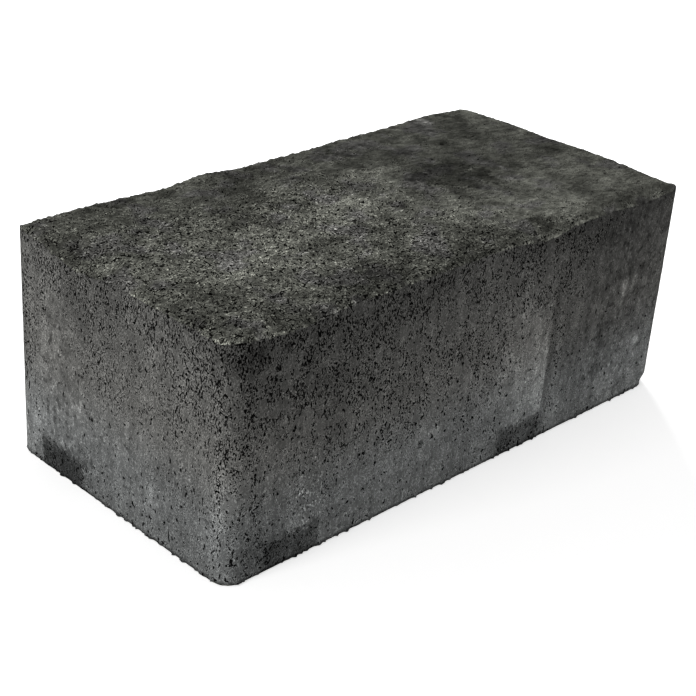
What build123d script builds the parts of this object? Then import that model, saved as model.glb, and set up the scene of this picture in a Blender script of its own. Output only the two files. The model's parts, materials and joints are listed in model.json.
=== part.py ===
"""Concrete paving stone: a rectangular block cast in one piece.

Frame: the origin is the centre of the bed, the face that the stone lies on. X runs along
the length, Y across the width and Z up. Millimetres.

The stone is a prism with rounded upright corners and a level, uneven top with shallow hollows.
The top rolls off towards an irregular, wavy edge. Low ribs on the four sides keep the next stones
a joint's width away.
"""

import os
from math import cos, radians, sin

from build123d import *

# Laying size: the block together with one joint
MODULE_LENGTH = 210.0
MODULE_WIDTH = 105.0

# Block
HEIGHT = 80.0  # from the bed to the flat part of the top
CORNER_RADIUS = 6.0  # upright corners
BED_CHAMFER = 0.4  # edge round the bed

# Spacer ribs: each rises from a bevelled foot to a flat land and fades out towards its tip
RIB_DEPTH = 1.0  # how far the land stands out from the side, which is also the joint
RIB_LAND_WIDTH = 20.0
RIB_FLANK = 2.0  # run of the sloping flank on each side of the land
RIB_FOOT = 1.0  # heights above the bed
RIB_LAND_BOTTOM = 11.0
RIB_LAND_TOP = 26.0
RIB_TIP = 62.0
RIB_CORNER_DISTANCE = 25.0  # from the corner where a side starts to its first rib
RIB_PITCH = 105.0

# Rolled top edge: two slopes that follow the same wavy line
EDGE_DIP = 4.8  # deepest dip of the wavy line below the top
ROLL_HEIGHT = 0.6  # height of the steep slope at the very edge
STEEP_SLOPE = 42.0  # degrees from level
GENTLE_SLOPE = 15.0

# Dips of the wavy line as shares of EDGE_DIP, evenly spaced along each side,
# which is followed anticlockwise as seen from above
FRONT_DIP_SHARES = (
    0.23, 0.29, 0.54, 0.54, 0.29, 0.27, 0.27, 0.22, 0.27, 0.27, 0.22,
    0.29, 0.54, 0.72, 0.39, 0.33, 0.37, 0.52, 0.58, 0.44, 0.31,
)
RIGHT_DIP_SHARES = (0.36, 0.54, 0.45, 0.33, 0.30, 0.35, 0.40, 0.33, 0.35, 0.42, 0.44)
BACK_DIP_SHARES = (
    0.44, 0.38, 0.22, 0.20, 0.29, 0.33, 0.33, 0.35, 0.41, 0.45, 0.45,
    0.46, 0.38, 0.20, 0.49, 0.49, 0.40, 0.35, 0.38, 0.42, 0.46,
)
LEFT_DIP_SHARES = (0.42, 0.27, 0.61, 0.95, 0.80, 0.49, 0.51, 0.49, 0.45, 0.47, 0.40)

# Uneven top: hollows in rows, as if a plug with a domed end had been pressed in again and again
HOLLOW_DEPTH = 0.5  # of the deepest hollow
HOLLOW_PITCH = 14.0
PLUG_RADIUS = 6.5
PLUG_DOME = 0.6  # rise of the domed end

# Depths as shares of HOLLOW_DEPTH and places as shares of HOLLOW_PITCH, taken in turn
HOLLOW_DEPTH_SHARES = (0.90, 0.35, 0.70, 1.00, 0.50, 0.25, 0.80, 0.40, 0.60, 0.30, 0.75)
HOLLOW_ALONG_SHARES = (0.00, 0.15, -0.10, 0.06, -0.15)
HOLLOW_ACROSS_SHARES = (0.12, -0.14, 0.02, -0.06, 0.15, -0.10, 0.07)

OVERRUN = 3.0  # how far cuts and joined pieces run past the faces that they meet

BLOCK_LENGTH = MODULE_LENGTH - RIB_DEPTH
BLOCK_WIDTH = MODULE_WIDTH - RIB_DEPTH
HALF_LENGTH = BLOCK_LENGTH / 2
HALF_WIDTH = BLOCK_WIDTH / 2
RIB_HALF_WIDTH = RIB_LAND_WIDTH / 2
DOME_RADIUS = (PLUG_RADIUS**2 + PLUG_DOME**2) / (2 * PLUG_DOME)
HOLLOW_COLUMNS = int(BLOCK_LENGTH / HOLLOW_PITCH)
HOLLOW_ROWS = int(BLOCK_WIDTH / HOLLOW_PITCH) - 1

# The four sides: the corner where each starts, the way it runs, the way it faces, its run
# and the dips of its top edge
SIDES = (
    ((-HALF_LENGTH, -HALF_WIDTH), (1, 0, 0), (0, -1, 0), BLOCK_LENGTH, FRONT_DIP_SHARES),
    ((HALF_LENGTH, -HALF_WIDTH), (0, 1, 0), (1, 0, 0), BLOCK_WIDTH, RIGHT_DIP_SHARES),
    ((HALF_LENGTH, HALF_WIDTH), (-1, 0, 0), (0, 1, 0), BLOCK_LENGTH, BACK_DIP_SHARES),
    ((-HALF_LENGTH, HALF_WIDTH), (0, -1, 0), (-1, 0, 0), BLOCK_WIDTH, LEFT_DIP_SHARES),
)

# One rib on its own: X along the side, Y up, Z outward from the side
with BuildPart() as rib:
    with BuildSketch(Plane.YZ):
        Polygon(
            (RIB_FOOT, -OVERRUN),
            (RIB_FOOT, 0),
            (RIB_LAND_BOTTOM, RIB_DEPTH),
            (RIB_LAND_TOP, RIB_DEPTH),
            (RIB_TIP, 0),
            (RIB_TIP, -OVERRUN),
            align=None,
        )
    extrude(amount=RIB_HALF_WIDTH + RIB_FLANK, both=True)
    with BuildSketch(Plane.XZ):
        Polygon(
            (-RIB_HALF_WIDTH - RIB_FLANK, -OVERRUN),
            (-RIB_HALF_WIDTH - RIB_FLANK, 0),
            (-RIB_HALF_WIDTH, RIB_DEPTH),
            (RIB_HALF_WIDTH, RIB_DEPTH),
            (RIB_HALF_WIDTH + RIB_FLANK, 0),
            (RIB_HALF_WIDTH + RIB_FLANK, -OVERRUN),
            align=None,
        )
    extrude(amount=RIB_TIP, dir=(0, 1, 0), mode=Mode.INTERSECT)

# The plug on its own, standing with its dome on the origin
with BuildPart() as plug:
    with Locations((0, 0, DOME_RADIUS)):
        Sphere(DOME_RADIUS)
    Cylinder(
        PLUG_RADIUS,
        OVERRUN,
        align=(Align.CENTER, Align.CENTER, Align.MIN),
        mode=Mode.INTERSECT,
    )

with BuildPart() as paving_stone:
    # Block
    with BuildSketch():
        RectangleRounded(BLOCK_LENGTH, BLOCK_WIDTH, CORNER_RADIUS)
    extrude(amount=HEIGHT)
    chamfer(paving_stone.faces().sort_by(Axis.Z)[0].edges(), length=BED_CHAMFER)

    # Hollows in the top
    hollows = []
    grid = GridLocations(HOLLOW_PITCH, HOLLOW_PITCH, HOLLOW_COLUMNS, HOLLOW_ROWS)
    for turn, spot in enumerate(grid.local_locations):
        x = spot.position.X + HOLLOW_PITCH * HOLLOW_ALONG_SHARES[turn % len(HOLLOW_ALONG_SHARES)]
        y = spot.position.Y + HOLLOW_PITCH * HOLLOW_ACROSS_SHARES[turn % len(HOLLOW_ACROSS_SHARES)]
        depth = HOLLOW_DEPTH * HOLLOW_DEPTH_SHARES[turn % len(HOLLOW_DEPTH_SHARES)]
        hollows.append((x, y, HEIGHT - depth))
    with Locations(*hollows):
        add(plug.part, mode=Mode.SUBTRACT)

    for start, along, outward, run, dip_shares in SIDES:
        side = Plane(origin=start, x_dir=along, z_dir=outward)

        # Rolled edge: all above a wavy line is taken away along a slope that rises inward
        reach = run + 2 * OVERRUN
        for slope, lift in ((STEEP_SLOPE, 0), (GENTLE_SLOPE, ROLL_HEIGHT)):
            wave = [
                (reach * step / (len(dip_shares) - 1) - OVERRUN, HEIGHT + lift - EDGE_DIP * share)
                for step, share in enumerate(dip_shares)
            ]
            with BuildSketch(side):
                with BuildLine():
                    edge = Spline(*wave)
                    Polyline(
                        edge @ 1,
                        (run + OVERRUN, HEIGHT + 2 * OVERRUN),
                        (-OVERRUN, HEIGHT + 2 * OVERRUN),
                        edge @ 0,
                    )
                make_face()
            rise = sin(radians(slope))
            inward = cos(radians(slope))
            extrude(
                amount=(EDGE_DIP + OVERRUN) / rise,
                dir=(-inward * outward[0], -inward * outward[1], rise),
                both=True,
                mode=Mode.SUBTRACT,
            )

        # Spacer ribs
        for count in range(round(run / RIB_PITCH)):
            foot = side.from_local_coords((RIB_CORNER_DISTANCE + count * RIB_PITCH, 0, 0))
            add(Plane(origin=foot, x_dir=along, z_dir=outward).location * rib.part)

paving_stone.part.label = "paving_stone"
os.makedirs("parts", exist_ok=True)
export_step(paving_stone.part, "parts/paving_stone.step")

box = paving_stone.part.bounding_box()
print("size", box.size, "lowest", box.min.Z, "volume", paving_stone.part.volume)
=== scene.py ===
# %% [markdown]
# # A concrete paving stone
# The stone is one block of dark grey concrete, pressed in a steel mould and pulled out of it while
# the concrete was still damp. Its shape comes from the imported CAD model. This lesson gives that
# plain block the surface of real concrete: a sandy top, sides with pores that were dragged upright
# as the stone left the mould, smooth films of cement, and worn edges.

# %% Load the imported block
import json
import math

import bmesh
import bpy
import numpy as np
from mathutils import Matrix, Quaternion, Vector


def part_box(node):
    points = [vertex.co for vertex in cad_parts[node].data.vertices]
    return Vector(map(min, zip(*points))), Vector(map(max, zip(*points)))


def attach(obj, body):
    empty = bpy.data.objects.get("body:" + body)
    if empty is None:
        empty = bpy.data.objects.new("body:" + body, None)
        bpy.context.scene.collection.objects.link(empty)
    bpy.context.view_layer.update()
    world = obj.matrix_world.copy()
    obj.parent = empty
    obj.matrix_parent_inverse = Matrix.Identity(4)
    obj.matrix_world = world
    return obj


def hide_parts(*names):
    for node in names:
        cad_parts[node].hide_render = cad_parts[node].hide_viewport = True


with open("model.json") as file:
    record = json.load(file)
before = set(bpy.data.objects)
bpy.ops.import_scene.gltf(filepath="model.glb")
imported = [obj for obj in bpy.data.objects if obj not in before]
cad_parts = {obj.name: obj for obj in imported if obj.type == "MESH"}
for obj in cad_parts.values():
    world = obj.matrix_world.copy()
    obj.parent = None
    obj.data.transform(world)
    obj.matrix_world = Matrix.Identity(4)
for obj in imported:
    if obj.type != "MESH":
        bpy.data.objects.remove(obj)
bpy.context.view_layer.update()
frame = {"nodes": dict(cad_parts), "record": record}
MM = 0.001

# %% [markdown]
# ## Sizes that the surface follows
# The outer sizes come from the frame. Only the spacer ribs stand out from the flat sides, so the
# plain block is smaller than the box by the depth of a rib on each side. The record keeps the ribs as
# mounts, which say where each rib is and which way it faces. The depth of a rib, the height of its
# sloping foot and the radius of the upright corners aren't in the frame, so they are written again.

# %% Sizes of the plain block and the places of its ribs
_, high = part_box("paving_stone")
rib_depth = 1.0 * MM
rib_foot = 11.0 * MM
corner_radius = 6.0 * MM
half_length = high.x - rib_depth
half_width = high.y - rib_depth
height = high.z
ribs = [mount for mount in frame["record"]["mounts"] if mount["name"].startswith("rib")]
print("plain block", round(2 * half_length / MM, 1), "by", round(2 * half_width / MM, 1), "mm")
print("ribs", len(ribs))

# %% [markdown]
# ## Short words for nodes
# Geometry trees and shader trees share their maths and texture nodes, so one set of helpers
# serves both. A helper takes either a socket, which it links, or a plain value, which it sets.


# %% Helpers that place nodes
def node(tree, kind, inputs=None, **options):
    """A new node with its options set and its inputs linked or set."""
    made = tree.nodes.new(kind)
    for name, value in options.items():
        setattr(made, name, value)
    for key, value in (inputs or {}).items():
        if isinstance(value, bpy.types.NodeSocket):
            tree.links.new(value, made.inputs[key])
        else:
            made.inputs[key].default_value = value
    return made


# %% Helpers for arithmetic with values
def maths(tree, operation, first, second=0.0):
    """One step of arithmetic."""
    return node(tree, "ShaderNodeMath", {0: first, 1: second}, operation=operation).outputs[0]


def product(tree, *factors):
    """Several values multiplied together."""
    result = factors[0]
    for factor in factors[1:]:
        result = maths(tree, "MULTIPLY", result, factor)
    return result


def total(tree, *terms):
    """Several values added together."""
    result = terms[0]
    for term in terms[1:]:
        result = maths(tree, "ADD", result, term)
    return result


def highest(tree, *values):
    """The largest of several values."""
    result = values[0]
    for value in values[1:]:
        result = maths(tree, "MAXIMUM", result, value)
    return result


def opposite(tree, mask):
    """One minus a mask."""
    return maths(tree, "SUBTRACT", 1.0, mask)


def clamped(tree, value):
    """A value kept between 0 and 1."""
    return node(tree, "ShaderNodeClamp", {0: value}).outputs[0]


def step(tree, value, start, end, before=0.0, after=1.0):
    """A smooth change from one value to another while the input goes from start to end."""
    inputs = {0: value, 1: start, 2: end, 3: before, 4: after}
    return node(tree, "ShaderNodeMapRange", inputs, interpolation_type="SMOOTHSTEP").outputs[0]


def between(tree, share, before, after):
    """A value that changes evenly while a share goes from 0 to 1."""
    return node(tree, "ShaderNodeMapRange", {0: share, 3: before, 4: after}).outputs[0]


# %% Helpers for arithmetic with vectors
def vector_maths(tree, operation, first, second=(0, 0, 0)):
    """One step of arithmetic with vectors, as a vector."""
    return node(tree, "ShaderNodeVectorMath", {0: first, 1: second}, operation=operation).outputs[0]


def scaled(tree, vector, share):
    """A vector or colour made longer or brighter."""
    inputs = {0: vector, "Scale": share}
    return node(tree, "ShaderNodeVectorMath", inputs, operation="SCALE").outputs[0]


def measured(tree, operation, first, second=(0, 0, 0)):
    """One number taken from vectors, such as a length."""
    inputs = {0: first, 1: second}
    return node(tree, "ShaderNodeVectorMath", inputs, operation=operation).outputs["Value"]


def parts_of(tree, vector):
    """The X, Y and Z of a vector."""
    return node(tree, "ShaderNodeSeparateXYZ", {0: vector}).outputs


# %% [markdown]
# ## Noise, and the distance from the sides
# Noise nodes have no seed, so a seed here shifts the spot where a pattern reads its noise, and
# patterns with different seeds don't line up. The distance of a point from the plain sides tells
# the top from the sides: on a side it is about zero, on the top it falls below zero, and on a rib
# it is above.

# %% Helpers for patterns
SEED_SHIFT = (0.731, -0.527, 0.293)


def noise(tree, place, size, seed, detail=2.0, roughness=0.5):
    """Cloudy noise between 0 and 1 around 0.5, on a lattice of a given size in metres."""
    spot = seed if isinstance(seed, bpy.types.NodeSocket) else (seed, seed, seed)
    inputs = {0: spot, 1: SEED_SHIFT, 2: place}
    moved = node(tree, "ShaderNodeVectorMath", inputs, operation="MULTIPLY_ADD").outputs[0]
    scale = maths(tree, "DIVIDE", 1.0, size)
    inputs = {"Vector": moved, "Scale": scale, "Detail": detail, "Roughness": roughness}
    return node(tree, "ShaderNodeTexNoise", inputs).outputs[0]


def centred(tree, place, size, seed, detail=2.0, roughness=0.5, middle=0.5):
    """Noise with its middle value taken off, so that it goes both ways."""
    return maths(tree, "SUBTRACT", noise(tree, place, size, seed, detail, roughness), middle)


def stretched(tree, place, upright):
    """Coordinates in which patterns come out longer in the upright direction."""
    return vector_maths(tree, "MULTIPLY", place, (1, 1, 1 / upright))


# %% Distance from the plain sides
def outside(tree, place):
    """How far a point lies outside the plain sides, in metres, and below zero inside them."""
    x, y, _ = parts_of(tree, place)
    past_x = maths(tree, "SUBTRACT", maths(tree, "ABSOLUTE", x), half_length - corner_radius)
    past_y = maths(tree, "SUBTRACT", maths(tree, "ABSOLUTE", y), half_width - corner_radius)
    flat = maths(tree, "MINIMUM", maths(tree, "MAXIMUM", past_x, past_y), 0.0)
    past_x = maths(tree, "MAXIMUM", past_x, 0.0)
    past_y = maths(tree, "MAXIMUM", past_y, 0.0)
    squares = total(tree, product(tree, past_x, past_x), product(tree, past_y, past_y))
    return total(tree, maths(tree, "SQRT", squares), flat, -corner_radius)


def outside_of(spots):
    """The same distance for an array of points."""
    past = np.abs(spots[:, :2]) - (half_length - corner_radius, half_width - corner_radius)
    flat = np.minimum(past.max(1), 0)
    return np.linalg.norm(np.maximum(past, 0), axis=1) + flat - corner_radius


# %% [markdown]
# ## A blank of even mesh
# The CAD mesh has large flat triangles that can't hold any relief. Cutting them up would leave
# slivers, so a voxel remesh turns a copy of the mesh into a closed skin of small even faces, with
# no seams at the edges of the block. The copy's loose triangles are joined at their corners first,
# because a remesh needs a closed body.

# %% Remesh a copy of the block
voxel = 0.5 * MM


def bake_modifiers(piece):
    """Gives a piece the mesh that its modifiers make, and takes them away."""
    depsgraph = bpy.context.evaluated_depsgraph_get()
    evaluated = piece.evaluated_get(depsgraph)
    settings = {"preserve_all_data_layers": True, "depsgraph": depsgraph}
    mesh = bpy.data.meshes.new_from_object(evaluated, **settings)
    piece.modifiers.clear()
    piece.data = mesh


blank_mesh = frame["nodes"]["paving_stone"].data.copy()
work = bmesh.new()
work.from_mesh(blank_mesh)
bmesh.ops.remove_doubles(work, verts=work.verts, dist=voxel / 100)
work.to_mesh(blank_mesh)
work.free()
blank_mesh.materials.clear()
stone = bpy.data.objects.new("cast_stone", blank_mesh)
bpy.context.scene.collection.objects.link(stone)
remesh = stone.modifiers.new("even_skin", "REMESH")
remesh.mode = "VOXEL"
remesh.voxel_size = voxel
bake_modifiers(stone)
print("blank", len(stone.data.polygons), "faces")

# %% [markdown]
# ## Relief that can be felt
# Lumps, pits, drag marks and worn edges that are larger than about a millimetre are real geometry.
# They could be sculpted, but then no size could be changed later. Relief that is only in a material
# would be missing from the mesh. So a Geometry Nodes tree pushes each point of the blank along its
# normal: the top is lumpy and sandy, the sides carry upright drag marks and a few crumbs, burrs hang
# on the lower edge, small chips are missing along the upper one, and one lower corner is worn round.

# %% Sizes of the relief
RELIEF = {
    "Lump": 1.7 * MM,
    "Sand": 1.0 * MM,
    "Drag": 0.3 * MM,
    "Pit": 0.6 * MM,
    "Crumb": 0.35 * MM,
    "Burr": 0.6 * MM,
    "Chip": 1.0 * MM,
    "Worn": 2.2 * MM,
    "Seed": 2.0,
}
WORN_CORNER = Vector((102.3, -51.5, 0.0)) * MM
WORN_REACH = 5.6 * MM
WORN_CORE = 1.6 * MM
LEVEL_FACING = 0.42  # how level the surface is where the top and the bed begin
print("relief up to", round(RELIEF["Worn"] / MM, 1), "mm")


# %% Height of each point
def pits(tree, place, seed):
    """Mask of single pits, a millimetre or more across, for relief and painted shade."""
    spread = noise(tree, stretched(tree, place, 1.4), 3.2 * MM, total(tree, seed, 7.0))
    return step(tree, spread, 0.68, 0.76)


def relief_height(tree, given, place, facing):
    """How far each point of the blank moves along its normal, in metres."""
    seed = given["Seed"]
    x, _, z = parts_of(tree, place)

    # Regions of the block, told apart by which way it faces
    top = step(tree, facing, 0.30, 0.65)
    under = step(tree, facing, -0.35, -0.8)
    side = opposite(tree, total(tree, top, under))
    rim = product(tree, step(tree, facing, 0.02, 0.3), step(tree, facing, 0.97, 0.8))
    near_bed = product(tree, step(tree, z, 2.4 * MM, 0.8 * MM), side)

    # Patterns and the worn corner
    lumps = centred(tree, place, 2.8 * MM, seed, detail=3.0, roughness=0.6, middle=0.58)
    lumps = product(tree, lumps, given["Lump"])
    sand = centred(tree, place, 1.2 * MM, seed, detail=1.0, middle=0.56)
    sand = product(tree, sand, given["Sand"])
    drag = centred(tree, stretched(tree, place, 9.0), 2.6 * MM, seed)
    crumbs = noise(tree, place, 1.7 * MM, total(tree, seed, 5.0), detail=1.0)
    crumbs = step(tree, crumbs, 0.74, 0.82)
    burrs = noise(tree, place, 1.8 * MM, total(tree, seed, 6.0))
    burrs = step(tree, burrs, 0.50, 0.68)
    chips = noise(tree, place, 3.4 * MM, total(tree, seed, 3.0), detail=3.0, roughness=0.6)
    chips = step(tree, chips, 0.48, 0.70)
    away = measured(tree, "LENGTH", vector_maths(tree, "SUBTRACT", place, WORN_CORNER))
    worn = step(tree, away, WORN_REACH, WORN_CORE)

    # The right part of the top is smoother, and the sides are far smoother than the top
    smoother = step(tree, x, 15 * MM, 60 * MM, 1.0, 0.55)
    rough = total(tree, product(tree, top, smoother), product(tree, side, 0.08))
    return total(
        tree,
        product(tree, total(tree, lumps, sand), rough),
        product(tree, drag, given["Drag"], side),
        product(tree, pits(tree, place, seed), opposite(tree, under), given["Pit"], -1.0),
        product(tree, crumbs, side, given["Crumb"]),
        product(tree, burrs, near_bed, given["Burr"]),
        product(tree, chips, rim, given["Chip"], -1.0),
        product(tree, worn, given["Worn"], -1.0),
    )


# %% Relief tree
def blurred(tree, value, times):
    """A vector of each point mixed with that of its neighbours."""
    inputs = {"Value": value, "Iterations": times}
    return node(tree, "GeometryNodeBlurAttribute", inputs, data_type="FLOAT_VECTOR").outputs[0]


def relief_tree(side_material, top_material):
    """Geometry Nodes that turn the even blank into a cast surface."""
    tree = bpy.data.node_groups.new("cast_relief", "GeometryNodeTree")
    tree.interface.new_socket("Geometry", in_out="INPUT", socket_type="NodeSocketGeometry")
    tree.interface.new_socket("Geometry", in_out="OUTPUT", socket_type="NodeSocketGeometry")
    for name in RELIEF:
        tree.interface.new_socket(name, in_out="INPUT", socket_type="NodeSocketFloat")
    given = node(tree, "NodeGroupInput").outputs
    place = node(tree, "GeometryNodeInputPosition").outputs[0]
    normal = node(tree, "GeometryNodeInputNormal").outputs[0]

    # Which way the plain block faces is kept on it, because the relief changes every normal
    facing = parts_of(tree, blurred(tree, normal, 3))[2]
    inputs = {"Geometry": given["Geometry"], "Name": "facing", "Value": facing}
    body = node(tree, "GeometryNodeStoreNamedAttribute", inputs, data_type="FLOAT").outputs[0]
    inputs = {"Name": "facing"}
    facing = node(tree, "GeometryNodeInputNamedAttribute", inputs, data_type="FLOAT").outputs[0]

    # Each point moves a little towards its neighbours, which takes the sharpness off the creases
    inputs = {"Geometry": body, "Position": blurred(tree, place, 1)}
    body = node(tree, "GeometryNodeSetPosition", inputs).outputs[0]

    # No point goes below the bed
    push = scaled(tree, normal, relief_height(tree, given, place, facing))
    moved = vector_maths(tree, "ADD", place, push)
    kept = vector_maths(tree, "MAXIMUM", moved, (-1.0, -1.0, 0.0))
    body = node(tree, "GeometryNodeSetPosition", {"Geometry": body, "Position": kept}).outputs[0]
    body = node(tree, "GeometryNodeSetShadeSmooth", {"Geometry": body}).outputs[0]
    body = node(tree, "GeometryNodeRealizeInstances", {"Geometry": body}).outputs[0]
    inputs = {"Geometry": body, "Material": side_material}
    body = node(tree, "GeometryNodeSetMaterial", inputs).outputs[0]
    level = maths(tree, "GREATER_THAN", maths(tree, "ABSOLUTE", facing), LEVEL_FACING)
    inputs = {"Geometry": body, "Selection": level, "Material": top_material}
    body = node(tree, "GeometryNodeSetMaterial", inputs).outputs[0]
    node(tree, "NodeGroupOutput", {"Geometry": body})
    return tree


# %% Press the relief into the blank
drawn_side = bpy.data.materials.new("drawn_side")
sandy_top = bpy.data.materials.new("sandy_top")
shaping = stone.modifiers.new("cast_relief", "NODES")
shaping.node_group = relief_tree(drawn_side, sandy_top)
for item in shaping.node_group.interface.items_tree:
    if item.in_out == "INPUT" and item.name in RELIEF:
        shaping[item.identifier] = RELIEF[item.name]
bake_modifiers(stone)
print("relief on", len(stone.data.vertices), "points")

# %% [markdown]
# ## A lighter mesh
# Nearly 400,000 small faces are more than the stone needs. A coarser remesh would lose the crests of
# the top, so Decimate merges faces where the surface is nearly flat, until the stone fits a budget
# of triangles. A vertex group steers it: the hidden bed gives up nearly all its points, the sides
# many, and the rough top and the edges few.


# %% Thin the mesh
def points_of(mesh):
    """The places of a mesh's points as an array."""
    spots = np.empty(len(mesh.vertices) * 3, np.float32)
    mesh.vertices.foreach_get("co", spots)
    return spots.reshape(-1, 3)


triangle_budget = 190_000

# How willingly each region gives up its points
side_ease, edge_ease, top_ease, bed_ease = 0.6, 0.08, 0.12, 1.0
spots = points_of(stone.data)
rise = spots[:, 2]
inset = -outside_of(spots)
near_top = rise > 70 * MM
ease = np.full(len(spots), side_ease)
ease[near_top | (rise < 3 * MM)] = edge_ease
ease[near_top & (inset > 3 * MM)] = top_ease
ease[(rise < 1 * MM) & (inset > 2 * MM)] = bed_ease
group = stone.vertex_groups.new(name="ease")
for share in np.unique(ease):
    group.add(np.flatnonzero(ease == share).tolist(), share, "REPLACE")
triangles = sum(len(face.vertices) - 2 for face in stone.data.polygons)
thinning = stone.modifiers.new("thin", "DECIMATE")
thinning.vertex_group = group.name
thinning.ratio = triangle_budget / triangles
bake_modifiers(stone)
stone.vertex_groups.clear()
print("thinned from", triangles, "to", len(stone.data.polygons), "faces")

# %% [markdown]
# ## The skin unfolded like a carton
# A model that leaves Blender carries its finish as a picture, so the skin needs a flat layout.
# An automatic unwrap would cut the rough top into many scraps. A block unfolds like a carton
# instead: each face of the mesh goes to the panel that it belongs to. The bed, which is hardly
# seen, takes less room.

# %% Unfold the skin
mesh = stone.data
spots = points_of(mesh)
corners = np.empty(len(mesh.loops), np.int32)
mesh.loops.foreach_get("vertex_index", corners)
corner_count = np.empty(len(mesh.polygons), np.int32)
mesh.polygons.foreach_get("loop_total", corner_count)
face_of_corner = np.repeat(np.arange(len(corner_count)), corner_count)
centres = np.empty(len(mesh.polygons) * 3, np.float32)
mesh.polygons.foreach_get("center", centres)
centres = centres.reshape(-1, 3)

edge_width = 0.6 * MM
within = -outside_of(centres) > edge_width
on_top = (centres[:, 2] > height / 2) & within
on_bed = (centres[:, 2] < 1 * MM) & within
on_end = np.abs(centres[:, 0]) - half_length > np.abs(centres[:, 1]) - half_width
on_side = ~on_top & ~on_bed
panel_gap = 3 * MM
right = 2 * high.x + 2 * panel_gap
above_top = 2 * high.y + 2 * panel_gap
above_front = above_top + height + panel_gap
sheet = right + height + panel_gap
bed_scale = 0.36
panels = (
    (on_top, (1, 0, 0), (0, 1, 0), (panel_gap, panel_gap), 1.0),
    (on_side & ~on_end & (centres[:, 1] < 0), (1, 0, 0), (0, 0, 1), (panel_gap, above_top), 1.0),
    (on_side & ~on_end & (centres[:, 1] > 0), (-1, 0, 0), (0, 0, 1), (panel_gap, above_front), 1.0),
    (on_side & on_end & (centres[:, 0] < 0), (0, 0, 1), (0, 1, 0), (right, panel_gap), 1.0),
    (on_side & on_end & (centres[:, 0] > 0), (0, 0, 1), (0, -1, 0), (right, above_top), 1.0),
    (on_bed, (1, 0, 0), (0, -1, 0), (right, 2 * above_top), bed_scale),
)
layout = np.zeros((len(corners), 2), np.float32)
for chosen, across, up, start, scale in panels:
    mine = chosen[face_of_corner]
    for axis, way in enumerate((across, up)):
        along = spots[corners[mine]] @ np.array(way, np.float32)
        layout[mine, axis] = (start[axis] + scale * (along - along.min())) / sheet
mesh.uv_layers.new(name="OFBake").uv.foreach_set("vector", layout.ravel())
print("faces on the panels", [int(panel[0].sum()) for panel in panels])
print("layout filled to", layout.max(0).round(3))

# %% [markdown]
# ## Pores, clouds and patches as shader groups
# The top and the sides of the stone are two finishes of one concrete. They show the same few
# effects at several sizes. Painted pictures could show them too, but they blur close up and have
# seams at the edges. So each effect is a node group, which is placed many times with its own values.

# %% A shader group with nothing in it
VALUE = "NodeSocketFloat"
VECTOR = "NodeSocketVector"
HOLE_INPUTS = {"Place": VECTOR, "Size": VALUE, "Upright": VALUE, "Amount": VALUE, "Seed": VALUE}


def shader_group(name, inputs, outputs):
    """An empty shader group with named inputs and outputs."""
    group = bpy.data.node_groups.new(name, "ShaderNodeTree")
    for socket, kind in inputs.items():
        group.interface.new_socket(socket, in_out="INPUT", socket_type=kind)
    for socket in outputs:
        group.interface.new_socket(socket, in_out="OUTPUT", socket_type=VALUE)
    return group, node(group, "NodeGroupInput").outputs


# %% [markdown]
# ### Pores and curls
# The damp mix was too stiff to close up everywhere, so holes stayed open in its skin. Pores are the
# highest spots of a fine noise, and curls are broken pieces of its contour lines. Both also mark the
# rim beside a hole, where its broken edge catches light, and the finishes paint a highlight there.


# %% Pores and curls
def drawn_place(group, given):
    """Coordinates of a group in which patterns come out longer by its Upright input."""
    flatten = maths(group, "DIVIDE", 1.0, given["Upright"])
    scale = node(group, "ShaderNodeCombineXYZ", {0: 1.0, 1: 1.0, 2: flatten}).outputs[0]
    return vector_maths(group, "MULTIPLY", given["Place"], scale)


def pores_group():
    """Ragged pores, more as Amount goes from 0 to 1, and rims round them for painted highlights."""
    group, given = shader_group("pores", HOLE_INPUTS, ["Gap", "Highlight"])
    place = drawn_place(group, given)
    speckle = noise(group, place, given["Size"], given["Seed"], detail=1.0)
    brink = between(group, given["Amount"], 0.74, 0.53)
    beyond = maths(group, "SUBTRACT", brink, speckle)
    gap = step(group, beyond, 0.0, -0.03)
    highlight = product(group, step(group, beyond, -0.01, 0.015), step(group, beyond, 0.10, 0.04))
    node(group, "NodeGroupOutput", {"Gap": gap, "Highlight": highlight})
    return group


def curls_group():
    """Broken, curling gaps, more as Amount rises from 0 to 1, and rims for painted highlights."""
    group, given = shader_group("curls", HOLE_INPUTS, ["Gap", "Highlight"])
    place = drawn_place(group, given)
    bend = centred(group, place, given["Size"], given["Seed"], detail=1.0)
    thick = product(group, given["Amount"], 0.065)
    beyond = maths(group, "SUBTRACT", maths(group, "ABSOLUTE", bend), thick)
    gap = step(group, beyond, 0.0, -0.02)
    highlight = product(group, step(group, beyond, -0.01, 0.015), step(group, beyond, 0.10, 0.05))
    pieces = product(group, given["Size"], 1.6)
    broken = noise(group, place, pieces, total(group, given["Seed"], 0.37), detail=1.0)
    brink = between(group, given["Amount"], 0.62, 0.46)
    kept = step(group, maths(group, "SUBTRACT", broken, brink), 0.0, 0.04)
    masks = {"Gap": product(group, gap, kept), "Highlight": product(group, highlight, kept)}
    node(group, "NodeGroupOutput", masks)
    return group


PORES = pores_group()
CURLS = curls_group()
print("groups", PORES.name, "and", CURLS.name)

# %% [markdown]
# ### Clouds and grains
# Clouds are a soft noise around zero, for anything that is a little lighter here and darker there.
# Grains are the stones of the mix: pores open between them, and a closed skin covers each. The cells
# of a Voronoi texture stand for the stones, with their borders moved about by noise.


# %% Clouds and grains
def clouds_group():
    """Soft clouds between -1 and 1."""
    sockets = {"Place": VECTOR, "Size": VALUE, "Seed": VALUE}
    group, given = shader_group("clouds", sockets, ["Value"])
    cloud = noise(group, given["Place"], given["Size"], given["Seed"], roughness=0.55)
    limits = {0: cloud, 1: 0.35, 2: 0.65, 3: -1.0, 4: 1.0}
    spread = node(group, "ShaderNodeMapRange", limits).outputs[0]
    node(group, "NodeGroupOutput", {"Value": spread})
    return group


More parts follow.
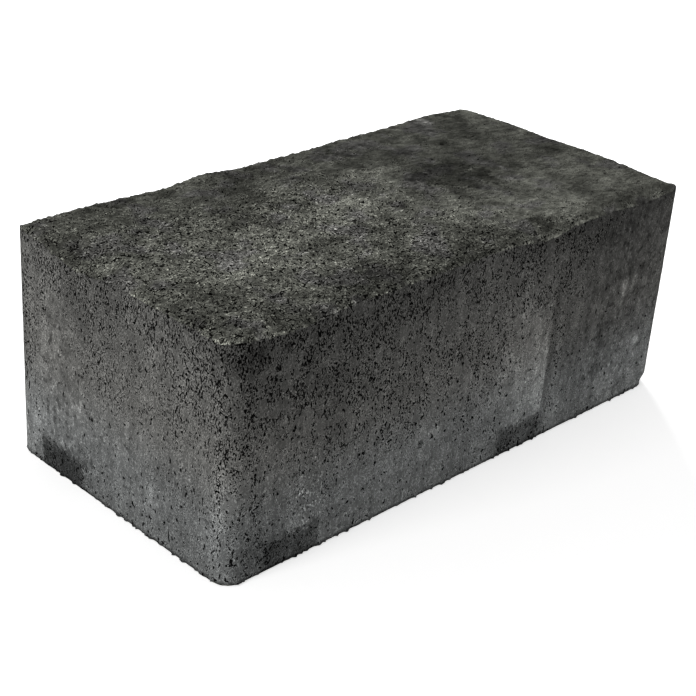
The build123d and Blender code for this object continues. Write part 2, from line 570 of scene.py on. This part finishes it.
def grains_group():
    """Stones of the mix: Cover is 1 where a stone lies close under a closed skin."""
    group, given = shader_group("grains", {"Place": VECTOR, "Size": VALUE}, ["Cover"])
    scale = maths(group, "DIVIDE", 1.0, given["Size"])
    inputs = {"Vector": given["Place"], "Scale": scale, "Detail": 2.0}
    drift = node(group, "ShaderNodeTexNoise", inputs).outputs["Color"]
    drift = vector_maths(group, "SUBTRACT", drift, (0.5, 0.5, 0.5))
    drift = scaled(group, drift, product(group, given["Size"], 1.2))
    cells = {"Vector": vector_maths(group, "ADD", given["Place"], drift), "Scale": scale}
    stones = node(group, "ShaderNodeTexVoronoi", cells).outputs
    near_skin = step(group, parts_of(group, stones["Color"])[0], 0.40, 0.65)
    cover = product(group, near_skin, step(group, stones["Distance"], 0.58, 0.36))
    node(group, "NodeGroupOutput", {"Cover": cover})
    return group


CLOUDS = clouds_group()
GRAINS = grains_group()
print("groups", CLOUDS.name, "and", GRAINS.name)

# %% [markdown]
# ### Patches and ribs
# A patch is one spot at a chosen place, for the marks that a real stone has in one place only. The
# ribs are marked too: the mould polished their flat faces and left their sloping feet rough. The feet
# are also painted darker, as painted shade under their downward slope.


# %% Patches and ribs
def patch_group():
    """One spot: 1 near the centre, fading to 0 about the radii, with its rim moved by Ragged."""
    sockets = {"Place": VECTOR, "Ragged": VALUE, "Centre": VECTOR, "Radii": VECTOR, "Soft": VALUE}
    group, given = shader_group("patch", sockets, ["Mask"])
    offset = vector_maths(group, "SUBTRACT", given["Place"], given["Centre"])
    share = vector_maths(group, "DIVIDE", offset, given["Radii"])
    distance = total(group, measured(group, "LENGTH", share), product(group, given["Ragged"], 1.6))
    outer = total(group, 1.0, product(group, given["Soft"], 0.25))
    inner = total(group, outer, product(group, given["Soft"], -1.0))
    node(group, "NodeGroupOutput", {"Mask": step(group, distance, outer, inner)})
    return group


def rib_group():
    """Marks of one spacer rib: Land is 1 on its smooth face, Foot on its rough lower slope."""
    sockets = {"Place": VECTOR, "Ragged": VALUE, "Centre": VECTOR, "Outward": VECTOR}
    group, given = shader_group("rib", sockets, ["Land", "Foot"])
    offset = vector_maths(group, "SUBTRACT", given["Place"], given["Centre"])
    along = vector_maths(group, "CROSS_PRODUCT", given["Outward"], (0.0, 0.0, 1.0))
    depth = measured(group, "DOT_PRODUCT", offset, given["Outward"])
    near = step(group, maths(group, "ABSOLUTE", depth), 6 * MM, 4 * MM)

    # A rib reaches 10 mm to each side of its centre, and its sloping flanks 2 mm more
    across = maths(group, "ABSOLUTE", measured(group, "DOT_PRODUCT", offset, along))
    across = total(group, across, product(group, given["Ragged"], 7 * MM))
    here = product(group, near, step(group, across, 12.2 * MM, 9.8 * MM))

    # The foot ends where the flat face starts, and the face fades out higher up
    rise = parts_of(group, given["Place"])[2]
    rise = total(group, rise, product(group, given["Ragged"], 12 * MM))
    on_foot = step(group, rise, rib_foot + 1.4 * MM, rib_foot - 1.4 * MM)
    on_land = product(group, opposite(group, on_foot), step(group, rise, 58 * MM, 38 * MM))
    masks = {"Land": product(group, here, on_land), "Foot": product(group, here, on_foot)}
    node(group, "NodeGroupOutput", masks)
    return group


PATCH = patch_group()
RIB = rib_group()
print("groups", PATCH.name, "and", RIB.name)


# %% Helpers that place the groups
def use(tree, group, **values):
    """Places a shader group and returns its outputs."""
    inputs = {name.capitalize(): value for name, value in values.items()}
    return node(tree, "ShaderNodeGroup", inputs, node_tree=group).outputs


def pores(tree, place, size, upright, amount, seed):
    """Masks of pores and of the rims round them, for painted highlights."""
    made = use(tree, PORES, place=place, size=size, upright=upright, amount=amount, seed=seed)
    return made["Gap"], made["Highlight"]


def curls(tree, place, size, upright, amount, seed):
    """Masks of curling gaps and of the rims beside them, for painted highlights."""
    made = use(tree, CURLS, place=place, size=size, upright=upright, amount=amount, seed=seed)
    return made["Gap"], made["Highlight"]


def clouds(tree, place, size, seed):
    """Clouds from -1 to 1."""
    return use(tree, CLOUDS, place=place, size=size, seed=seed)["Value"]


def spots_of(tree, place, ragged, table, soft=0.8):
    """The spots of a table, each given as centre and radii in millimetres and a strength."""
    terms = []
    for centre, radii, strength in table:
        sizes = {"centre": Vector(centre) * MM, "radii": Vector(radii) * MM}
        spot = use(tree, PATCH, place=place, ragged=ragged, soft=soft, **sizes)["Mask"]
        terms.append(product(tree, spot, strength))
    return terms


def marks(tree, place, ragged, table):
    """The sum of all spots of a table."""
    return total(tree, *spots_of(tree, place, ragged, table))


def shaded(tree, bright, *changes):
    """A brightness changed by several effects, each a share above or below it."""
    for change in changes:
        bright = product(tree, bright, maths(tree, "ADD", 1.0, change))
    return bright


# %% [markdown]
# ## The marks of this one stone
# Two stones from one mould still differ: cement film stays on the steel here and closes the pores
# there. Such marks follow no rule, so they are listed one by one, in millimetres, on the faces that
# they belong to. Everything else comes from noise and also covers the faces with no marks.

# %% Marks placed one by one
# Closed films of cement on the sides
FILM_MARKS = (
    ((82, -52, 38), (36, 10, 52), 0.75),
    ((58, -52, 20), (22, 10, 34), 0.35),
    ((84, -52, 64), (34, 10, 30), 0.35),
    ((-34, -52, 6), (46, 10, 24), 0.50),
    ((-20, -52, 22), (10, 8, 14), 0.30),
    ((-104, 28, 53), (8, 9, 14), 0.60),
    ((-104, 46, 16), (8, 9, 14), 0.50),
    ((-104, 14, 26), (8, 30, 16), 0.30),
    ((-104, -24, 24), (8, 22, 20), 0.25),
    ((-104, 0, 34), (8, 60, 44), 0.22),
)

# Places on the sides where the skin is more open
OPEN_MARKS = (
    ((-86, -52, 20), (26, 10, 44), 0.14),
    ((-46, -52, 40), (30, 10, 30), 0.10),
    ((-104, -38, 40), (8, 18, 36), 0.14),
)

# Lighter and darker places on the sides, some of them painted light and shade as noted
SIDE_MARKS = (
    ((78, -52, 48), (40, 10, 56), -0.14),
    # Painted light from the white sheet on the lower part of the long side
    ((0, -52, 6), (130, 10, 40), 0.26),
    ((-36, -52, 6), (44, 10, 20), 0.10),
    ((-20, -52, 24), (8, 8, 10), 0.14),
    ((46, -52, 10), (12, 8, 12), 0.16),
    ((24, -53, 30), (16, 6, 34), 0.30),
    ((33, -53, 26), (4, 6, 16), 0.30),
    # Painted shadow beside the hidden right flank of a rib
    ((38.5, -52, 30), (2.2, 6, 30), -0.30),
    ((88, -52, 12), (26, 8, 18), 0.36),
    ((0, -52, 46), (60, 10, 38), 0.12),
    ((-84, -52, 66), (34, 8, 22), -0.18),
    ((-104, 0, 22), (8, 60, 44), -0.08),
    ((62, -52, 36), (3.5, 6, 30), 0.16),
    ((77.5, -52, 47), (2.4, 4, 4.0), 0.90),
    ((83, -52, 48), (2.2, 4, 3.6), 0.90),
    ((90, -52, 22), (2.4, 4, 2.4), 0.60),
    ((85, -52, 11), (5, 4, 3), 0.30),
    ((-92, -52, 8), (14, 8, 12), -0.14),
    ((66, -52, 75), (36, 8, 10), -0.20),
    # Painted shade on the end below the rim, at the front corner
    ((-101, -49, 74), (11, 11, 10), -0.30),
    ((-104, 36, 55), (6, 2.0, 26), 0.26),
    ((-104, 45, 16), (6, 9, 14), 0.16),
    ((-104, 33, 18), (6, 4, 14), 0.18),
    # Darker foot of the rib on this end: rough, and partly painted shade
    ((-105, 27, 5), (5, 17, 11), -0.50),
    ((-104, 47, 60), (6, 3, 22), -0.16),
    ((-104, -8, 62), (6, 30, 12), -0.12),
)

# Clusters of pale specks
SPECK_MARKS = (
    ((-74, -53, 20), (8, 6, 14), 0.7),
    ((-79, -53, 58), (6, 6, 8), 0.4),
    ((-104, 34, 46), (6, 4, 14), 0.3),
)

# Lighter and darker places on the top
TOP_MARKS = (
    ((-8, 4, 80), (32, 18, 8), 0.10),
    ((-70, -30, 80), (30, 22, 8), 0.08),
    ((40, 2, 80), (18, 17, 8), -0.22),
    ((62, 20, 80), (60, 48, 8), -0.24),
    ((88, -10, 80), (40, 64, 8), -0.20),
    ((-10, 48, 80), (110, 28, 8), -0.34),
    ((-90, 36, 80), (18, 14, 8), -0.24),
    ((-30, -46, 80), (80, 12, 8), -0.30),
)

# Patches on the top with a clear border
TOP_PATCHES = (
    ((40, 0, 80), (15, 13, 8), -0.38),
    ((64, 18, 80), (44, 34, 8), -0.14),
    ((-4, 8, 80), (24, 13, 8), 0.08),
    ((-62, -22, 80), (34, 17, 8), 0.10),
    ((12, -34, 80), (15, 7, 8), -0.14),
    ((-88, -34, 80), (11, 11, 8), -0.12),
    ((-44, 34, 80), (24, 9, 8), -0.12),
)

# Where the top is closed and smooth
TOP_FILM_MARKS = (
    ((80, 4, 80), (80, 90, 8), 0.9),
    ((-10, 48, 80), (110, 26, 8), 0.5),
)
side_marks = FILM_MARKS + OPEN_MARKS + SIDE_MARKS + SPECK_MARKS
top_marks = TOP_MARKS + TOP_PATCHES + TOP_FILM_MARKS
print("marks on the sides", len(side_marks), "and on the top", len(top_marks))

# %% [markdown]
# ## The drawn sides
# The sides were drawn along the steel of the mould. Fine pores stand open between the stones of the
# mix, most of all near the top, and are stretched upright. They and the pits are painted near black,
# as painted shade inside them. Cement film closes them in places.
# The brightness is a product, so each effect, such as a pore or a film, is one factor of it. A sum
# would turn black where several dark marks meet.

# %% What the two finishes share
PASTE_GREY = 0.150
OLIVE = (0.985, 1.0, 0.87, 1.0)
BLUE = (0.97, 1.0, 0.99, 1.0)
NEUTRAL = (1.0, 0.99, 0.94, 1.0)


def mixed_colour(tree, factor, first, second):
    """A mix of two colours."""
    inputs = {0: factor, 6: first, 7: second}
    return node(tree, "ShaderNodeMix", inputs, data_type="RGBA").outputs[2]


def finish(tree, tint, bright, relief, film):
    """Ends a material in matt concrete with a colour, a fine relief and a film that is less rough."""
    colour = scaled(tree, tint, product(tree, bright, PASTE_GREY))
    inputs = {"Height": relief, "Strength": 1.0, "Distance": 1.0}
    bump = node(tree, "ShaderNodeBump", inputs).outputs[0]
    dull = between(tree, film, 0.95, 0.78)
    inputs = {"Base Color": colour, "Roughness": dull, "Normal": bump}
    surface = node(tree, "ShaderNodeBsdfPrincipled", inputs)
    surface.inputs["Specular IOR Level"].default_value = 0.0
    node(tree, "ShaderNodeOutputMaterial", {"Surface": surface.outputs[0]})


def empty_tree(owner):
    """The tree of a material or a world, with no nodes."""
    owner.use_nodes = True
    owner.node_tree.nodes.clear()
    return owner.node_tree


# %% Finish of the sides
def rib_marks(tree, place, ragged):
    """Masks of the smooth faces and the rough feet of all ribs."""
    land, foot = 0.0, 0.0
    for mount in ribs:
        spot = {"centre": mount["pos_m"], "outward": mount["axis"]}
        rib = use(tree, RIB, place=place, ragged=ragged, **spot)
        land = total(tree, land, rib["Land"])
        foot = total(tree, foot, rib["Foot"])
    return land, foot


def finish_side(material):
    """Builds the finish of the drawn sides."""
    tree = empty_tree(material)
    place = node(tree, "ShaderNodeTexCoord").outputs["Object"]
    z = parts_of(tree, place)[2]
    ragged = centred(tree, place, 5 * MM, seed=1.0, detail=3.0, roughness=0.6)
    fine_ragged = centred(tree, place, 1.7 * MM, seed=3.0, detail=3.0, roughness=0.6)
    land, foot = rib_marks(tree, place, fine_ragged)

    # How open the skin is: more so higher up, between the stones of the mix and along drag lines
    drag = clouds(tree, stretched(tree, place, 14.0), 1.5 * MM, seed=8.0)
    streak = clouds(tree, stretched(tree, place, 12.0), 4.5 * MM, seed=13.0)
    blotch = clouds(tree, place, 11 * MM, seed=9.0)
    wide = clouds(tree, place, 34 * MM, seed=10.0)
    cover = use(tree, GRAINS, place=stretched(tree, place, 1.25), size=4.6 * MM)["Cover"]
    film = total(
        tree,
        marks(tree, place, ragged, FILM_MARKS),
        product(tree, land, 0.40),
        product(tree, wide, 0.10),
    )
    film = clamped(tree, film)
    bare = product(tree, opposite(tree, film), between(tree, cover, 1.0, 0.15))
    spread = total(tree, step(tree, z, 10 * MM, 66 * MM, 0.54, 0.92), product(tree, drag, 0.28))
    spread = total(tree, spread, product(tree, streak, 0.14), product(tree, foot, 0.2))
    spread = total(tree, spread, marks(tree, place, ragged, OPEN_MARKS))
    spread = total(tree, spread, step(tree, z, 58 * MM, 74 * MM, 0.0, 0.1))
    amount = maths(tree, "MINIMUM", clamped(tree, product(tree, bare, spread)), 0.9)

    # Long, fine and bent pores in the open skin, single large ones, and soft ones under the film
    single = step(tree, z, 60 * MM, 30 * MM, 0.22, 0.40)
    single = product(tree, between(tree, film, 1.0, 0.5), single)
    long_pores, long_highlights = pores(
        tree, place, size=0.58 * MM, upright=2.2, amount=product(tree, amount, 0.90), seed=1.0
    )
    fine_pores, fine_highlights = pores(
        tree, place, size=0.46 * MM, upright=1.6, amount=product(tree, amount, 0.78), seed=2.0
    )
    bent_pores, bent_highlights = curls(
        tree, place, size=0.80 * MM, upright=1.8, amount=product(tree, amount, 0.84), seed=3.0
    )
    single_pores, _ = pores(tree, place, size=1.25 * MM, upright=1.5, amount=single, seed=6.0)
    soft_pores, _ = pores(
        tree, place, size=2.2 * MM, upright=1.0, amount=product(tree, film, 0.75), seed=4.0
    )
    mottle = clouds(tree, stretched(tree, place, 1.2), 3.4 * MM, seed=14.0)
    hollows = highest(tree, long_pores, fine_pores, bent_pores, single_pores)
    highlights = highest(tree, long_highlights, fine_highlights, bent_highlights)

    # Grit, pale specks and scratches
    grit = clouds(tree, stretched(tree, place, 1.6), 0.5 * MM, seed=12.0)
    grit_strength = total(tree, 0.04, product(tree, amount, 0.36))
    speckled = clamped(tree, marks(tree, place, ragged, SPECK_MARKS))
    specks, _ = pores(tree, place, size=0.85 * MM, upright=1.4, amount=speckled, seed=5.0)
    scratches, _ = pores(tree, place, size=0.6 * MM, upright=30.0, amount=0.16, seed=7.0)
    pit = pits(tree, place, RELIEF["Seed"])

    # Painted light: the sides are lighter towards the bed, where the white sheet lights them from
    # below, and darker under the top edge; their lowest edge gets a painted contact shadow
    bright = shaded(
        tree,
        step(tree, z, 78 * MM, 2 * MM, 0.69, 1.04),
        product(tree, grit, grit_strength),
        # Painted highlight on the rims beside the pores
        product(tree, highlights, 1.2),
        # Painted shade under the top edge
        step(tree, z, 66 * MM, 78 * MM, 0.0, -0.16),
        product(tree, drag, 0.06),
        product(tree, streak, 0.12),
        product(tree, blotch, 0.12),
        product(tree, wide, 0.08),
        product(tree, cover, 0.06),
        *spots_of(tree, place, ragged, SIDE_MARKS),
        product(tree, land, 0.10),
        # Rough feet, darkened partly as painted shade under their downward slope
        product(tree, foot, -0.50),
        # Painted shade in the soft pores under the film
        product(tree, soft_pores, -0.40),
        product(tree, mottle, film, 0.28),
        product(tree, scratches, 0.12),
        product(tree, specks, 1.5),
        # Painted shade in the pits and in the open pores
        product(tree, pit, -0.6),
        product(tree, hollows, -0.97),
        # Painted contact shadow along the lowest edge
        step(tree, z, 2.2 * MM, 0.6 * MM, 0.0, -0.7),
    )
    relief = total(
        tree,
        product(tree, hollows, -0.4 * MM),
        product(tree, specks, 0.15 * MM),
        product(tree, grit, 0.05 * MM),
    )
    tint = mixed_colour(tree, step(tree, z, 45 * MM, 15 * MM), NEUTRAL, BLUE)
    finish(tree, tint, bright, relief, film)


finish_side(drawn_side)
print("material", drawn_side.name, len(drawn_side.node_tree.nodes), "nodes")

# %% [markdown]
# ## The sandy top
# The top was pressed by a plate and not drawn, so it has no upright marks. It is a skin of coarse
# sand, olive in places, and smoother where fine cement rose to the surface. Its crests get painted
# highlights, and the gaps between them painted shade. Pores, curls, clouds and patches make it as
# they make the sides, with no stretch.
# The bed is like it, without the marks that the top alone has.


# %% Finish of the top
def finish_top(material):
    """Builds the finish of the sandy top and the bed."""
    tree = empty_tree(material)
    place = node(tree, "ShaderNodeTexCoord").outputs["Object"]
    ragged = centred(tree, place, 5 * MM, seed=1.0, detail=3.0, roughness=0.6)
    film = clamped(tree, marks(tree, place, ragged, TOP_FILM_MARKS))
    sandy = between(tree, film, 1.0, 0.30)
    sand = clouds(tree, place, 0.8 * MM, seed=21.0)
    gravel = clouds(tree, place, 1.7 * MM, seed=22.0)
    mottle = clouds(tree, place, 4.2 * MM, seed=28.0)
    small_blotch = clouds(tree, place, 6 * MM, seed=23.0)
    blotch = clouds(tree, place, 17 * MM, seed=24.0)
    gaps, highlights = curls(
        tree, place, size=1.4 * MM, upright=1.0, amount=product(tree, sandy, 0.88), seed=25.0
    )
    fine_gaps, fine_highlights = pores(
        tree, place, size=0.9 * MM, upright=1.0, amount=product(tree, sandy, 0.60), seed=26.0
    )
    crests, _ = pores(
        tree, place, size=1.1 * MM, upright=1.0, amount=product(tree, sandy, 0.62), seed=27.0
    )
    hollows = highest(tree, gaps, fine_gaps)
    highlights = highest(tree, highlights, fine_highlights)

    # The rim gets a painted highlight in places, and the pits get painted shade
    rim = step(tree, outside(tree, place), -1.3 * MM, -0.4 * MM)
    rim_highlight = centred(tree, place, 9 * MM, seed=3.0, detail=4.0, roughness=0.7)
    rim_highlight = step(tree, rim_highlight, -0.06, 0.12)
    pit = pits(tree, place, RELIEF["Seed"])
    bright = shaded(
        tree,
        0.69,
        # Partly grain tone, partly painted light: sand and gravel are paler where their relief stands
        # higher
        product(tree, sand, sandy, 0.22),
        product(tree, gravel, sandy, 0.20),
        product(tree, mottle, film, 0.22),
        product(tree, small_blotch, 0.30),
        product(tree, blotch, 0.30),
        *spots_of(tree, place, ragged, TOP_MARKS),
        *spots_of(tree, place, ragged, TOP_PATCHES, soft=0.2),
        product(tree, rim, rim_highlight, between(tree, film, 2.0, 1.2)),
        # Painted highlights on the rims beside the gaps and on the crests
        product(tree, highlights, sandy, 1.1),
        product(tree, crests, sandy, 1.2),
        # Painted shade in the pits and in the gaps between the grains
        product(tree, pit, -0.6),
        product(tree, hollows, -0.95),
    )
    relief = total(
        tree,
        product(tree, sand, sandy, 0.08 * MM),
        product(tree, gravel, sandy, 0.45 * MM),
        product(tree, crests, 0.12 * MM),
        product(tree, hollows, -0.35 * MM),
    )
    plain = step(tree, clouds(tree, place, 16 * MM, seed=32.0), 0.1, 0.8)
    tint = mixed_colour(tree, plain, OLIVE, NEUTRAL)
    finish(tree, tint, bright, relief, film)


finish_top(sandy_top)
print("material", sandy_top.name, len(sandy_top.node_tree.nodes), "nodes")

# %% [markdown]
# ## The stone stands for the block
# The finished mesh hides the CAD node, which stays behind it for collision, and rides on the
# part's only body.

# %% Tie the stone to the frame
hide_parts("paving_stone")
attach(stone, "root")
print("stone", [round(v / MM, 2) for v in stone.dimensions], "mm")

# %% [markdown]
# ## The white sheet
# The stone lies on a white sheet, which throws light back up its sides. A sheet that is only lit
# comes out grey, and more light would bleach the stone. So the sheet also glows, but only to the
# camera: the stone isn't lit by the glow, and its shadow still shows.


# %% White sheet
def seen_directly(tree):
    """1 for what the camera sees, also in a mirror or through glass, and 0 for other light."""
    rays = node(tree, "ShaderNodeLightPath").outputs
    return highest(tree, rays["Is Camera Ray"], rays["Is Glossy Ray"], rays["Is Transmission Ray"])


def white_sheet():
    """A floor that is white to the camera and still takes the shadow of the stone."""
    material = bpy.data.materials.new("white_sheet")
    tree = empty_tree(material)
    paper = node(tree, "ShaderNodeBsdfDiffuse", {"Color": (0.8, 0.8, 0.8, 1.0)}).outputs[0]
    glow = node(tree, "ShaderNodeEmission", {"Strength": 0.6}).outputs[0]
    lit = node(tree, "ShaderNodeAddShader", {0: paper, 1: glow}).outputs[0]
    inputs = {0: seen_directly(tree), 1: paper, 2: lit}
    shown = node(tree, "ShaderNodeMixShader", inputs).outputs[0]
    node(tree, "ShaderNodeOutputMaterial", {"Surface": shown})
    return material


floor_size = 3.0
bpy.ops.mesh.primitive_plane_add(size=floor_size)
floor = bpy.context.object
floor.name = "floor"
floor.data.materials.append(white_sheet())
print("floor", floor_size, "m")

# %% [markdown]
# ## Light
# One light comes from the left and falls on the end of the stone. The other stands low behind the
# stone and grazes the rough top, so that each crest shows. The room fills the shade evenly. A picture
# of a real room could light the stone too, but a plain room and two lamps are easier to set.


# %% World and lamps
def room():
    """Soft light from all round, white to the camera."""
    world = bpy.data.worlds.new("room")
    tree = empty_tree(world)
    soft = node(tree, "ShaderNodeBackground", {"Color": (1, 1, 1, 1), "Strength": 0.35}).outputs[0]
    white = node(tree, "ShaderNodeBackground", {"Color": (1, 1, 1, 1), "Strength": 1.0}).outputs[0]
    inputs = {0: seen_directly(tree), 1: soft, 2: white}
    shown = node(tree, "ShaderNodeMixShader", inputs).outputs[0]
    node(tree, "ShaderNodeOutputWorld", {"Surface": shown})
    return world


def area_lamp(name, place, aim, size, power):
    """A square soft lamp that points at a place."""
    lamp = bpy.data.lights.new(name, "AREA")
    lamp.size = size
    lamp.energy = power
    holder = bpy.data.objects.new(name, lamp)
    holder.location = place
    holder.rotation_euler = (Vector(aim) - Vector(place)).to_track_quat("-Z", "Y").to_euler()
    bpy.context.scene.collection.objects.link(holder)
    return holder


bpy.context.scene.world = room()
middle = Vector((0, 0, height / 2))
key = area_lamp("key", place=(-1.15, 0.0, 0.60), aim=middle, size=0.45, power=7.7)
back = area_lamp("back", place=(0.55, 0.78, 0.42), aim=middle, size=0.40, power=14.0)
print("lamps", key.name, back.name)

# %% [markdown]
# ## Camera
# The camera stands where the photo was taken from. Its place, aim, roll and lens were fitted
# together, so that the corners of the block fall where the photo shows them.

# %% Camera
lens_mm = 77.95
sensor_mm = 36.0
camera_place = Vector((-339.5, -317.8, 260.5)) * MM
camera_aim = Vector((-25.09, -18.04, 40.40)) * MM
camera_roll = math.radians(4.197)
camera = bpy.data.objects.new("camera", bpy.data.cameras.new("camera"))
camera.data.lens = lens_mm
camera.data.sensor_width = sensor_mm
camera.data.clip_start = 0.01
camera.location = camera_place
turn = (camera_aim - camera_place).to_track_quat("-Z", "Y") @ Quaternion((0, 0, 1), camera_roll)
camera.rotation_euler = turn.to_euler()
bpy.context.scene.collection.objects.link(camera)
bpy.context.scene.camera = camera
bpy.context.scene.view_settings.view_transform = "Standard"
print("camera", [round(v, 3) for v in camera.location])
